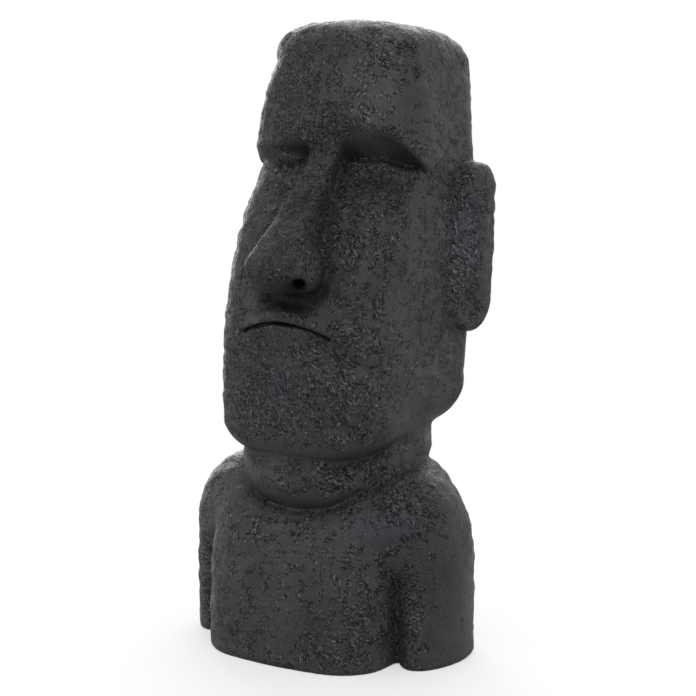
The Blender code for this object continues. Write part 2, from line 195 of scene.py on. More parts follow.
# Neck: a collar that swells at mid height, the swell rising towards the nape
NECK_HALF_WIDTH = 0.084
NECK_FRONT = -0.0665
NECK_BACK = 0.092
NECK_FRONT_BOW = 4.8
NECK_BACK_BOW = 3.0
NECK_CORNER = 0.050
NECK_SWELL_HEIGHT = 0.160
NECK_SWELL_RISE = 0.22
NECK_SWELL_DEPTH = 0.12
NECK_TAPER = 3.0
NECK_UNDERCUT = 17.0
NECK_TOP = 0.235
NECK_FILLET = 0.004

# Chest: it bulges, rises beside the neck and narrows towards the top
CHEST_HALF_WIDTH = 0.092
CHEST_FRONT = -0.092
CHEST_FOLD = 0.020
CHEST_BACK = 0.081
CHEST_RISE = 0.013
CHEST_RISE_REACH = (0.020, 0.065)
CHEST_NARROWING = 0.3
CHEST_HEIGHTS = (0.03, 0.20)
CHEST_CURVE = 5.0
CHEST_FRONT_BOW = 1.5
CHEST_BACK_BOW = 2.0
CHEST_CORNER = 0.046

# Arms: straight up to the foot of the shoulder, then rounding over
SHOULDER_FOOT = 0.03
SHOULDER_CURVE = 5.8
SHOULDER_LIMIT = 0.98
SHOULDER_CUT = 0.170
ARM_FRONT = -0.040
ARM_FRONT_RECESS = 0.037
ARM_FRONT_CURVE = 5
ARM_BACK = 0.076
ARM_BACK_RECESS = 0.040
ARM_BACK_CURVE = 4
ARM_BACK_BOW = 1.0
ARM_CENTRE = 0.114
ARM_ROUNDING = 26.0
ARM_FRONT_STEEPNESS = 1.1
ARM_ROUNDING_HEIGHTS = (0.14, 0.05)
ARM_FRONT_CORNER = 0.038
ARM_BACK_CORNER = 0.044
TOP_EDGE = 0.010

# Armpit and the slot between chest and arm, which runs out upwards
ARMPIT_FILLET = 0.005
ARMPIT_GROWTH = 0.035
ARMPIT_HEIGHTS = (0.070, 0.125)
CLEFT_PLACE = (0.0918, -0.0290)
CLEFT_RADIUS = 0.002
CLEFT_NARROWING = 0.6
CLEFT_RUN_OUT = 0.026
CLEFT_HEIGHTS = (0.060, 0.120)
CLEFT_TOP = 0.125
CLEFT_EDGE = 0.004

# Where the trunk meets the neck, and the base
COLLAR_FILLET = 0.004
NAPE_FILLET = 0.030
NAPE_DEPTHS = (0.03, 0.07)
NAPE_REACH = (0.07, 0.02)
BASE_OVERRUN = 0.001
BASE_RIM = 0.005

# Mesh: the coarse grid's step and how many fine steps it holds, how near the surface the field is
# worked out again on the fine grid, the grid's ends, and the triangle budget
COARSE_STEP = 0.0064
FINE_STEPS = 4
BAND = 0.0085
GRID_MARGIN = 0.010
GRID_LOW = (-SHOULDER_HALF_WIDTH - GRID_MARGIN, -0.120, -0.012)
GRID_HIGH = (SHOULDER_HALF_WIDTH + GRID_MARGIN, 0.150, CROWN_HEIGHT + GRID_MARGIN)
TRIANGLES = 190000

# Random fields: large odd numbers that scatter neighbouring cells, and how many cells one octave is
# moved from the next. A field is given by the width of its features, its seed and its octaves
CELL_MIX = np.array([374761393, 668265263, 1442695041])
SEED_MIX = 1274126177
STIR = 1103515245
OCTAVE_SHIFT = 31.7

# Relief pushed into the mesh: the height of each layer, then its field. The axes make the folds
# longer across than up, and the wrinkles longer up than across. All of it fades in above the ground
LUMPS = (0.0008, 0.035, 1, 2)
FOLDS = (0.0009, 0.011, 60, 2)
FOLD_AXES = np.array([[0.50, 0.0, 0.50], [0.0, 1.0, 0.0], [-1.0, 0.0, 1.0]])
WRINKLES = (0.0004, 0.0055, 9, 2)
WRINKLE_AXES = (1.0, 1.0, 0.7)
GROUND_FADE = (0.0, 0.006)

# Pits: depth, then cell size and seed, the least radius and its spread in cells, the flat share of
# the radius, the share of cells with a pit, and the field of the pitted areas
PIT_DEPTH = 0.0010
PITS = (0.0060, 20)
PIT_RADIUS = 0.15
PIT_RADIUS_SPREAD = 0.35
PIT_FLOOR = 0.35
PIT_SHARE = 0.5
PITTED_AREAS = (0.040, 7, 2)
PITTED_EDGE = (0.0, 0.5)

# Roughness of the skin: patches from the least value up by the spread, what is lost where the skin
# faces sideways or downwards, the box round each ear's hollow with its soft edge, and what is
# reached or lost at the rough and smooth places
PATCHES = (0.055, 5, 2)
PATCH_EDGE = (-0.55, 0.25)
PATCH_LEAST = 0.70
PATCH_SPREAD = 0.30
SIDEWAYS = (0.86, 0.93)
SIDEWAYS_LOSS = 0.35
DOWNWARDS = (0.15, 0.50)
DOWNWARDS_LOSS = 0.85
EAR_BOX = ((0.085, 0.050, 0.305), (0.110, 0.095, 0.415), 0.012)
EAR_ROUGHNESS = 1.1
PLACE_ROUGHNESS = 1.05
SMOOTHING = 0.5

# Places: a centre and the reach from it in x, y and z
LEFT_CLEFT = (0.090, -0.036, 0.060)
SMOOTH_PLACES = (
    ((0.075, 0.010, 0.490), (0.045, 0.055, 0.070)),  # left temple
    ((0.085, -0.050, 0.130), (0.050, 0.060, 0.050)),  # top of the chest on the left
    ((0.010, -0.090, 0.070), (0.120, 0.080, 0.110)),  # chest
    ((0.130, 0.000, 0.060), (0.030, 0.070, 0.090)),  # left arm
)
ROUGH_PLACES = (
    ((0.005, -0.055, 0.395), (0.055, 0.070, 0.100)),  # nose
    ((-0.050, -0.010, 0.500), (0.060, 0.060, 0.080)),  # right of the forehead
    ((0.105, -0.030, 0.155), (0.060, 0.060, 0.050)),  # left shoulder
    (LEFT_CLEFT, (0.030, 0.035, 0.080)),
    ((0.085, -0.045, 0.260), (0.035, 0.050, 0.060)),  # left of the jaw
)
# Painted violet sheen: places where the colour is tinted violet to stand in for a sheen
SHEEN_PLACES = (
    ((0.078, 0.015, 0.493), (0.045, 0.055, 0.065)),  # left temple
    ((0.092, -0.048, 0.130), (0.055, 0.045, 0.050)),  # over the left cleft
    ((-0.005, -0.095, 0.355), (0.020, 0.030, 0.020)),  # nose tip
    ((0.000, -0.070, 0.240), (0.050, 0.040, 0.040)),  # chin
    ((0.100, 0.080, 0.370), (0.030, 0.050, 0.080)),  # left ear
)
SHEEN_CLOUDS = (0.025, 40, 3)
SHEEN_EDGE = (-0.8, 0.5)

# Painted shade in hollows: how far out from the skin a hollow is felt, the values there from open to
# closed in, and how much of it shows. It fades in above the base and is weaker on the sides of
# the head
HOLLOW_SHADE_REACH = 0.018
HOLLOW_SHADE_FEEL = (0.9, 0.1)
HOLLOW_SHADE_SHARE = 0.8
HOLLOW_SHADE_HEIGHTS = (0.02, 0.20)
EAR_SIDE = (0.078, 0.088)
EAR_SIDE_HEIGHTS = (0.22, 0.26)
EAR_SIDE_LOSS = 0.7

# Painted shade and light: how much darker a place is painted, or paler below 0 as painted light, then
# the place
PAINTED_PLACES = (
    (0.60, (0.005, -0.045, 0.405), (0.040, 0.050, 0.060)),  # bridge of the nose
    (0.60, (0.000, -0.090, 0.360), (0.045, 0.045, 0.045)),  # nose tip
    (0.80, (0.015, -0.075, 0.331), (0.050, 0.050, 0.014)),  # sole of the nose
    (0.60, (0.022, -0.078, 0.341), (0.016, 0.030, 0.014)),  # left nostril
    (0.80, (0.058, -0.005, LID_HEIGHT - 0.020), (0.050, 0.035, 0.026)),  # below the left lid
    (-0.60, (0.086, 0.023, LID_HEIGHT - 0.004), (0.035, 0.035, 0.024)),  # outer end of that lid
    (1.00, (-0.028, -0.004, LID_HEIGHT + 0.008), (0.028, 0.025, 0.008)),  # above the right lid
    (-0.40, (-0.038, -0.003, LID_HEIGHT), (0.026, 0.025, 0.005)),  # right lid
    (0.90, (-0.040, -0.001, LID_HEIGHT - 0.0065), (0.028, 0.025, 0.005)),  # below the right lid
    (-0.90, (0.045, 0.000, 0.510), (0.045, 0.060, 0.070)),  # left of the forehead
    (-0.90, (0.100, 0.070, 0.360), (0.035, 0.045, 0.090)),  # left ear
    (-0.90, (-0.110, -0.030, 0.080), (0.040, 0.070, 0.110)),  # right arm
    (-0.60, LEFT_CLEFT, (0.022, 0.030, 0.080)),
    (0.35, (0.130, -0.015, 0.080), (0.030, 0.070, 0.100)),  # left arm
    (-0.50, (0.085, -0.035, 0.275), (0.035, 0.050, 0.060)),  # left cheek
)

# Stone: grain is given by its size and detail, stops as values along it and what they turn into
DARK_STONE = (0.028, 0.028, 0.028, 1.0)
PALE_STONE = (0.046, 0.045, 0.046, 1.0)
WARM_STONE = (0.040, 0.033, 0.033, 1.0)
# Colour of the painted violet sheen
SHEEN_VIOLET = (0.038, 0.034, 0.044, 1.0)
CLOUDS = (0.030, 5.0)
CLOUD_STOPS = ((0.30, DARK_STONE), (0.70, PALE_STONE))
WARM_CLOUDS = (0.045, 2.0)
WARM_STOPS = ((0.55, 0.0), (0.75, 0.6))
POLISH = (0.012, 4.0)
POLISH_STOPS = ((0.3, 0.30), (0.7, 0.44))
STONE_SPECULAR = 0.28
# Painted shade darkens the colour, painted light lightens it; painted shade also roughens
PAINTED_SHADE_STRENGTH = 0.78
PAINTED_SHADE_ROUGHENING = 0.35

# Worked patches, which hold the strokes: their grain, with a distortion too, and how roughness
# raises it
WORKED = (0.009, 2.0, 0.5)
WORKED_GAIN = 0.32
WORKED_OFFSET = -0.27
WORKED_STOPS = ((0.41, 0.15), (0.50, 1.0))

# Strokes: they lean by the first turn, except by the second in the crosswise areas and by the third
# in the upright ones. The tones are painted shade in the strokes' grooves and painted glints on their
# ridges. The bend makes the strokes crooked
STROKE_WIDTH = 0.0015
STROKE_STRETCH = 2.3
STROKE_DETAIL = 1.0
STROKE_DISTORTION = 0.9
STROKE_TURNS = ((-0.52, 0.87, 0.0), (-0.30, 2.04, 0.0), (-0.20, -0.31, 0.0))
CROSSWISE_AREAS = (0.050, 1.0)
CROSSWISE_STOPS = ((0.46, 0.0), (0.54, 1.0))
UPRIGHT_AREAS = (0.038, 1.0)
UPRIGHT_STOPS = ((0.52, 0.0), (0.58, 1.0))
STROKE_SHADE_AND_GLINTS = ((0.42, 0.0), (0.455, 1.0), (0.575, 1.10), (0.62, 3.4))
STROKE_HEIGHT = 0.0040
BEND_SIZE = 0.0055
BEND_PUSH = 0.0030

# Grit and pinholes. A pinhole's radius in cells is 1 / steepness. Smooth skin has shallower ones,
# in proportion to its roughness up to the most. Pinholes also get painted shade in the colour
GRIT = (0.0030, 2.0)
GRIT_HEIGHT = 0.0005
PINHOLE_CELL = 0.0060
PINHOLE_STEEPNESS = 3.2
PINHOLE_SOFTNESS = 0.3
PINHOLE_SHARE = 0.35
PINHOLE_MOST = 0.6
PINHOLE_MOST_SOFTNESS = 0.1
PINHOLE_DEPTH = 0.0014
PINHOLE_SHADE = 0.95
DARKEST_SHADE = 0.03

# Floor: how much of the backdrop it covers in the middle, and the radii between which it fades out
FLOOR_COLOUR = (0.90, 0.90, 0.90, 1.0)
FLOOR_ROUGHNESS = 0.9
FLOOR_SPECULAR = 0.1
FLOOR_FADE = (0.25, 0.75)
FLOOR_COVER = 0.45
FLOOR_MARGIN = 0.05
FLOOR_SIDES = 96

# Dome: brightness from straight below at 0 to straight above at 1
DOME = ((0.36, 0.15), (0.42, 0.80), (0.66, 0.80), (0.787, 0.55), (1.0, 1.15))

# Lamps: name, place, size, watts and colour
WHITE = (1.0, 1.0, 1.0)
LAMPS = (
    ("rim", (-0.90, 1.56, 1.54), 2.0, 30.0, WHITE),
    ("kick", (-1.55, 1.55, 0.47), 1.2, 13.0, WHITE),
    ("side", (2.16, 0.38, 0.47), 2.0, 5.9, (0.97, 0.95, 1.0)),
    ("front", (-1.90, -1.10, 0.47), 2.0, 6.5, WHITE),
    ("top", (1.03, -1.47, 1.54), 2.0, 7.0, WHITE),
)

# Camera, its sensor and lens in millimetres
CAMERA_PLACE = (1.0128, -1.5494, 0.600)
CAMERA_AIM = (0.043, -0.033, 0.28)
SENSOR_WIDTH = 36.0
LENS = 108.75


def smoothstep(low, high, value):
    """0 on the low side, 1 on the high side, eased between."""
    t = np.clip((value - low) / (high - low), 0.0, 1.0)
    return t * t * (3.0 - 2.0 * t)


def join(first, second, fillet):
    """Both volumes, with a fillet where they meet."""
    near = np.maximum(fillet - np.abs(first - second), 0.0) / fillet
    return np.minimum(first, second) - near * near * fillet / 4.0


def trim(first, second, rounding):
    """What is inside both volumes, with the edge rounded."""
    return -join(-first, -second, rounding)


def loft(height, stations, column):
    """Smooth curve through one column of the stations, read at the given heights."""
    levels = np.array([row[0] for row in stations])
    values = np.array([row[column] for row in stations])
    slopes = np.gradient(values, levels)
    i = np.clip(np.searchsorted(levels, height) - 1, 0, len(levels) - 2)
    span = levels[i + 1] - levels[i]
    t = np.clip((height - levels[i]) / span, 0.0, 1.0)
    ease = t * t * (3.0 - 2.0 * t)
    start = t * (1.0 - t) ** 2 * span * slopes[i]
    end = t * t * (t - 1.0) * span * slopes[i + 1]
    return values[i] * (1.0 - ease) + values[i + 1] * ease + start + end


def bowed(out, distance, bow):
    """Distance to a wall that curves away from the middle plane, scaled to true length."""
    return (distance + bow * out**2) / np.sqrt(1.0 + (2.0 * bow * out) ** 2)


def slab(out, y, half, front, front_bow, back, back_bow, front_edge, back_edge):
    """Upright body with flat sides and bowed front and back."""
    body = trim(out - half, bowed(out, front - y, front_bow), front_edge)
    return trim(body, bowed(out, y - back, back_bow), back_edge)


def ellipsoid(out, y, z, centre, radii):
    """Ellipsoid from its centre and half sizes."""
    offsets = [(v - c) / r for v, c, r in zip((out, y, z), centre, radii)]
    reach = np.sqrt(sum(o**2 for o in offsets))
    steepness = np.sqrt(sum((o / r) ** 2 for o, r in zip(offsets, radii)))
    return reach * (reach - 1.0) / np.maximum(steepness, 1e-9)


def round_cone(out, y, z, start, end, start_radius, end_radius):
    """Rod with round ends, from one point and radius to another."""
    axis = np.subtract(end, start)
    offsets = [v - s for v, s in zip((out, y, z), start)]
    along = sum(o * a for o, a in zip(offsets, axis)) / float(axis @ axis)
    along = np.clip(along, 0.0, 1.0)
    distance = np.sqrt(sum((o - along * a) ** 2 for o, a in zip(offsets, axis)))
    return distance - (start_radius + (end_radius - start_radius) * along)


def lower_head(out, y, z, half, face, back):
    """Cheeks and jaw up to the lower lid, in front of the bed of the eye sockets."""
    inset = CHEEK_INSET * smoothstep(*INSET_HEIGHTS, z) * smoothstep(*INSET_REACH, y)
    front = face + TROUGH_DEPTH * smoothstep(*TROUGH_REACH, out) * smoothstep(*TROUGH_HEIGHTS, z)
    cheeks = slab(out, y, half - inset, front, FACE_BOW, back, NAPE_BOW, CHEEK_CORNER, NAPE_CORNER)
    depth = np.clip(bowed(out, y - face, -FACE_BOW), 0.0, LID_DEPTH)
    outer = smoothstep(*LID_REACH, out)
    lid = z - LID_HEIGHT + LID_DROP * outer + LID_TILT * depth * (1.0 - outer)
    bed = slab(out, y, half, SOCKET_DEPTH, SOCKET_BOW, back, NAPE_BOW, SOCKET_CORNER, NAPE_CORNER)
    return join(trim(cheeks, lid, LID_EDGE), bed, LID_EDGE)


def upper_head(x, y, z, half, forehead, back):
    """Forehead down to the brow, whose underside slopes back into the sockets."""
    out = np.abs(x)
    block = slab(out, y, half, forehead, FOREHEAD_BOW, back, NAPE_BOW, BROW_CORNER, NAPE_CORNER)
    left, right = (drop * smoothstep(start, end, out) for drop, start, end in (BROW_LEFT, BROW_RIGHT))
    slope = BROW_SLOPE - BROW_SLOPE_LOSS * smoothstep(*BROW_SLOPE_REACH, out)
    edge = BROW_EDGE - np.where(x > 0.0, left, right) - slope * np.maximum(y - forehead, 0.0)
    underside = (np.maximum(edge, BROW_LOWEST) - z) * UNDERSIDE_SCALE
    end_rounding = np.where(x > 0.0, *BROW_END_ROUNDING)
    rounding = BROW_ROUNDING + (end_rounding - BROW_ROUNDING) * smoothstep(*BROW_END_REACH, out)
    return trim(block, underside, rounding)


def head(x, y, z):
    """Head from jaw to crown, without its nose, lips and ears."""
    out = np.abs(x)
    half, face, forehead, back = (loft(z, HEAD_STATIONS, column) for column in (1, 2, 3, 4))
    lower = lower_head(out, y, z, half, face, back)
    upper = upper_head(x, y, z, half, forehead, back)
    seam = SEAM_EDGE + (SEAM_FILLET - SEAM_EDGE) * smoothstep(*SEAM_REACH, out)
    crown = CROWN_HEIGHT - CROWN_BOW_OUT * out**2 - CROWN_BOW_ALONG * (y - CROWN_PEAK) ** 2
    block = trim(join(lower, upper, seam), z - crown, CROWN_EDGE)
    jaw = JAW_HEIGHT + JAW_RISE_BACK * (y - JAW_FRONT) + JAW_RISE_OUT * out**2
    return trim(block, jaw - z, JAW_EDGE)


def nose(out, y, z):
    """Bar down from the brow to a rounded tip, with wings, a sole and two nostrils."""
    half, ridge = (loft(z, NOSE_STATIONS, column) for column in (1, 2))
    side = out - half - NOSE_FLARE * (y - ridge)
    bar = trim(side, (ridge + NOSE_BOW * out**2 - y) * NOSE_SCALE, NOSE_EDGE)
    bar = trim(bar, (z - NOSE_ROOT) * NOSE_ROOT_SCALE, NOSE_ROOT_EDGE)
    bar = trim(bar, NOSE_BASE - z, NOSE_BASE_EDGE)
    bar = trim(bar, y - NOSE_BACK, SHARP_EDGE)
    made = join(bar, ellipsoid(out, y, z, *NOSE_TIP), TIP_FILLET)
    made = join(made, ellipsoid(out, y, z, *NOSE_SOLE), WING_FILLET)
    made = join(made, ellipsoid(out, y, z, *NOSE_WING), WING_FILLET)
    return trim(made, -round_cone(out, y, z, *NOSTRIL), NOSTRIL_EDGE)


def mouth_groove(out, y, z, surface):
    """Groove of even depth between the lips, dropping towards the corners."""
    line = MOUTH_HEIGHT - MOUTH_DROOP * (out / MOUTH_HALF_WIDTH) ** MOUTH_CURVE
    gap = trim(np.abs(z - line) - MOUTH_GAP, out - MOUTH_HALF_WIDTH, MOUTH_EDGE)
    return trim(np.maximum(gap, y), -surface - MOUTH_DEPTH, MOUTH_EDGE)


def lips(out, y, z, form):
    """The form with its philtrum, both lips and the groove between them."""
    form = trim(form, -ellipsoid(out, y, z, *PHILTRUM), PHILTRUM_EDGE)
    soft = np.sqrt(out**2 + LIP_SOFTNESS**2)
    form = join(form, round_cone(soft, y, z, *UPPER_LIP), UPPER_LIP_FILLET)
    form = join(form, round_cone(soft, y, z, *LOWER_LIP), LOWER_LIP_FILLET)
    return trim(form, -mouth_groove(out, y, z, form), SHARP_EDGE)


def rounded_outline(across, up, half_sizes, corner):
    """Distance to a rounded rectangle about the origin, in its own plane."""
    wide = np.abs(across) - half_sizes[0] + corner
    tall = np.abs(up) - half_sizes[1] + corner
    outside = np.sqrt(np.maximum(wide, 0.0) ** 2 + np.maximum(tall, 0.0) ** 2)
    return outside + np.minimum(np.maximum(wide, tall), 0.0) - corner


def ear(out, y, z):
    """Upright plate with a shallow hollow in its outer face."""
    along = y - EAR_LEAN * (z - EAR_MIDDLE[1])
    plate = (along - EAR_MIDDLE[0], z - EAR_MIDDLE[1])
    plate = rounded_outline(*plate, EAR_HALF_SIZE, EAR_CORNER)
    plate = trim(plate, out - EAR_OUTER, EAR_EDGE)
    hollow = (along - HOLLOW_MIDDLE[0], z - HOLLOW_MIDDLE[1])
    hollow = rounded_outline(*hollow, HOLLOW_HALF_SIZE, HOLLOW_CORNER)
    floor = HOLLOW_FLOOR + HOLLOW_SLOPE * (along - EAR_MIDDLE[0] + EAR_HALF_SIZE[0])
    floor = floor + HOLLOW_CURVE * np.maximum(z - HOLLOW_TOP, 0.0) ** 2
    hollow = trim(hollow, floor - out, HOLLOW_FLOOR_EDGE)
    return trim(trim(plate, -hollow, HOLLOW_EDGE), EAR_INNER - out, SHARP_EDGE)


def neck(out, y, z):
    """Collar, widest at its swell."""
    swell = NECK_SWELL_HEIGHT + NECK_SWELL_RISE * np.clip(y - NECK_FRONT, 0.0, NECK_SWELL_DEPTH)
    tuck = np.where(z < swell, NECK_UNDERCUT, NECK_TAPER) * (z - swell) ** 2
    half = NECK_HALF_WIDTH - tuck
    front = NECK_FRONT + tuck
    collar = slab(
        out, y, half, front, NECK_FRONT_BOW, NECK_BACK, NECK_BACK_BOW, NECK_CORNER, NECK_CORNER
    )
    return trim(collar, z - NECK_TOP, TOP_EDGE)


def chest(out, y, z):
    """Chest and back, up to the foot of the neck."""
    top = CHEST_TOP + CHEST_RISE * smoothstep(*CHEST_RISE_REACH, out)
    rise = np.clip(z / top, 0.0, 1.0)
    front = CHEST_FOLD + (CHEST_FRONT - CHEST_FOLD) * np.sqrt(1.0 - rise**CHEST_CURVE)
    half = CHEST_HALF_WIDTH * np.sqrt(1.0 - CHEST_NARROWING * smoothstep(*CHEST_HEIGHTS, z) ** 2)
    body = slab(
        out, y, half, front, CHEST_FRONT_BOW, CHEST_BACK, CHEST_BACK_BOW, CHEST_CORNER, CHEST_CORNER
    )
    return trim(body, z - top, TOP_EDGE)


def arms(out, y, z):
    """Both arms and the shoulders over them, which round over towards the neck."""
    rise = np.clip((z - SHOULDER_FOOT) / (SHOULDER_TOP - SHOULDER_FOOT), 0.0, SHOULDER_LIMIT)
    half = SHOULDER_HALF_WIDTH * np.sqrt(1.0 - rise**SHOULDER_CURVE)
    front = ARM_FRONT + ARM_FRONT_RECESS * rise**ARM_FRONT_CURVE
    back = ARM_BACK - ARM_BACK_RECESS * rise**ARM_BACK_CURVE
    roundness = ARM_ROUNDING * smoothstep(*ARM_ROUNDING_HEIGHTS, z)
    sleeve = (front - y + roundness * (out - ARM_CENTRE) ** 2) / ARM_FRONT_STEEPNESS
    sleeve = trim(out - half, sleeve, ARM_FRONT_CORNER)
    sleeve = trim(sleeve, bowed(out, y - back, ARM_BACK_BOW), ARM_BACK_CORNER)
    return trim(sleeve, z - SHOULDER_CUT, TOP_EDGE)


def cleft(out, y, z):
    """Slot between the chest and an arm, open to the front and running out at the armpit."""
    away = smoothstep(*CLEFT_HEIGHTS, z)
    bottom = CLEFT_PLACE[1] - CLEFT_RUN_OUT * away
    across = np.sqrt((out - CLEFT_PLACE[0]) ** 2 + np.maximum(y - bottom, 0.0) ** 2)
    slot = across - CLEFT_RADIUS * (1.0 - CLEFT_NARROWING * away)
    return trim(slot, z - CLEFT_TOP, SHARP_EDGE)


def trunk(out, y, z):
    """Chest and arms, with a cleft between them on each side."""
    armpit = ARMPIT_FILLET + ARMPIT_GROWTH * smoothstep(*ARMPIT_HEIGHTS, z)
    body = join(chest(out, y, z), arms(out, y, z), armpit)
    return trim(body, -cleft(out, y, z), CLEFT_EDGE)


def statue(x, y, z):
    """The whole statue. It overruns the base a little, which is pressed flat afterwards."""
    out = np.abs(x)
    root = NOSE_FILLET + ROOT_FILLET * smoothstep(*ROOT_HEIGHTS, z)
    form = lips(out, y, z, join(head(x, y, z), nose(out, y, z), root))
    form = join(form, ear(out, y, z), EAR_FILLET)
    form = join(form, neck(out, y, z), NECK_FILLET)
    nape = smoothstep(*NAPE_DEPTHS, y) * smoothstep(*NAPE_REACH, out)
    form = join(form, trunk(out, y, z), COLLAR_FILLET + NAPE_FILLET * nape)
    return trim(form, -BASE_OVERRUN - z, BASE_RIM)


def cell_corners(grid):
    """The eight views of the grid that hold each cell's corner values, keyed by corner."""
    views = {}
    for corner in np.ndindex(2, 2, 2):
        span = tuple(slice(c, c + n - 1) for c, n in zip(corner, grid.shape))
        views[corner] = grid[span]
    return views


def surface_points(field, low, step):
    """One point in each cell the surface crosses, and the number of the point in every cell."""
    inside = field < 0.0
    filled = sum(view.astype(int) for view in cell_corners(inside).values())
    crossed = (filled > 0) & (filled < 8)
    numbers = np.full(crossed.shape, -1)
    numbers[crossed] = np.arange(np.count_nonzero(crossed))
    values = {corner: view[crossed] for corner, view in cell_corners(field).items()}
    total = np.zeros((np.count_nonzero(crossed), 3))
    hits = np.zeros(len(total))
    for start in values:
        for axis in range(3):
            end = tuple(c + (i == axis) for i, c in enumerate(start))
            if end not in values:
                continue
            crossing = (values[start] < 0.0) != (values[end] < 0.0)
            drop = np.where(crossing, values[start] - values[end], 1.0)
            point = np.tile(np.array(start, float), (len(total), 1))
            point[:, axis] += values[start] / drop
            total[crossing] += point[crossing]
            hits[crossing] += 1.0
    points = (np.argwhere(crossed) + total / hits[:, None]) * step + low
    return points, numbers


def surface_quads(field, numbers):
    """A face for every grid edge that runs through the surface, turned to face outwards."""
    inside = field < 0.0
    faces = []
    for axis in range(3):
        side, up = (axis + 1) % 3, (axis + 2) % 3
        first = [slice(1, -1)] * 3
        second = [slice(1, -1)] * 3
        first[axis], second[axis] = slice(0, -1), slice(1, None)
        here, there = inside[tuple(first)], inside[tuple(second)]
        for leaving, order in ((here & ~there, 1), (there & ~here, -1)):
            edges = np.argwhere(leaving)
            edges[:, [side, up]] += 1
            ring = []
            for step_side, step_up in ((1, 1), (0, 1), (0, 0), (1, 0))[::order]:
                cell = edges.copy()
                cell[:, side] -= step_side
                cell[:, up] -= step_up
                ring.append(numbers[tuple(cell.T)])
            faces.append(np.stack(ring, axis=1))
    return np.concatenate(faces)


def lattice_value(cell, seed):
    """Repeatable number from 0 to 1 for every whole-numbered cell."""
    value = cell @ CELL_MIX + seed * SEED_MIX
    value = (value ^ (value >> 13)) * STIR
    value = (value ^ (value >> 16)) * SEED_MIX
    return ((value >> 8) & 0xFFFFF) / 0xFFFFF


def noise(points, size, seed, octaves):
    """Smooth random field about 0, mostly within 1 of it, with bumps about as wide as size."""
    total = np.zeros(len(points))
    weight = 1.0
    for octave in range(octaves):
        place = points / size * 2.0**octave + OCTAVE_SHIFT * octave
        cell = np.floor(place).astype(np.int64)
        t = place - cell
        t = t * t * (3.0 - 2.0 * t)
        value = np.zeros(len(points))
        for corner in np.ndindex(2, 2, 2):
            share = np.prod(np.where(corner, t, 1.0 - t), axis=1)
            value += share * lattice_value(cell + corner, seed + octave)
        total += weight * (2.0 * value - 1.0)
        weight *= 0.5
    return total


def pits(points, size, seed):
    """1 in the middle of scattered round pits, 0 between them."""
    place = points / size
    home = np.floor(place).astype(np.int64)
    deepest = np.zeros(len(points))
    for corner in np.ndindex(3, 3, 3):
        cell = home + np.array(corner) - 1
        middle = cell + np.stack([lattice_value(cell, seed + i) for i in range(3)], axis=1)
        radius = PIT_RADIUS + PIT_RADIUS_SPREAD * lattice_value(cell, seed + 3)
        kept = lattice_value(cell, seed + 4) < PIT_SHARE
        distance = np.linalg.norm(place - middle, axis=1)
        deepest = np.maximum(deepest, kept * smoothstep(radius, radius * PIT_FLOOR, distance))
    return deepest


def fine_field(low, high):
    """The field on a fine grid, worked out in full only near the surface."""
    counts = np.ceil((high - low) / COARSE_STEP).astype(int)
    middles = [low[i] + COARSE_STEP * (np.arange(counts[i]) + 0.5) for i in range(3)]
    coarse = statue(*np.meshgrid(*middles, indexing="ij"))
    step = COARSE_STEP / FINE_STEPS
    field = coarse.astype(np.float32)
    for axis in range(3):
        field = np.repeat(field, FINE_STEPS, axis=axis)
    near = np.nonzero(np.abs(field) < BAND)
    field[near] = statue(*(low[i] + step * (near[i] + 0.5) for i in range(3)))
    return field, low + step / 2.0, step


def carved_mesh():
    """The statue's surface on the fine grid, before its relief."""
    field, corner, step = fine_field(np.array(GRID_LOW), np.array(GRID_HIGH))
    points, numbers = surface_points(field, corner, step)
    mesh = bpy.data.meshes.new(PIECE)
    mesh.from_pydata(points.tolist(), [], surface_quads(field, numbers).tolist())
    mesh.shade_smooth()
    return mesh


def box_share(points, low, high, edge):
    """1 inside a box, easing to 0 over edge at its faces."""
    inside = np.minimum(points - np.array(low), np.array(high) - points).min(axis=1)
    return smoothstep(-edge / 2, edge / 2, inside)


def blob(points, centre, reach):
    """1 at a place, fading to 0 at its reach in x, y and z."""
    away = np.linalg.norm((points - np.array(centre)) / np.array(reach), axis=1)
    return smoothstep(1.0, 0.0, away)


def roughness_map(points, normals):
    """How rough the skin is at each point: about 1 where it is rough, less where it is smooth."""
    patches = smoothstep(*PATCH_EDGE, noise(points, *PATCHES))
    sideways = smoothstep(*SIDEWAYS, np.abs(normals[:, 0]))
    downwards = smoothstep(*DOWNWARDS, -normals[:, 2])
    amount = PATCH_LEAST + PATCH_SPREAD * patches
    amount = amount * (1.0 - SIDEWAYS_LOSS * sideways) * (1.0 - DOWNWARDS_LOSS * downwards)
    mirrored = np.abs(points) * (1.0, 0.0, 0.0) + points * (0.0, 1.0, 1.0)
    amount = amount + (EAR_ROUGHNESS - amount) * box_share(mirrored, *EAR_BOX)
    for place in SMOOTH_PLACES:
        amount = amount * (1.0 - SMOOTHING * blob(points, *place))
    for place in ROUGH_PLACES:
        amount = amount + (PLACE_ROUGHNESS - amount) * blob(points, *place)
    return amount


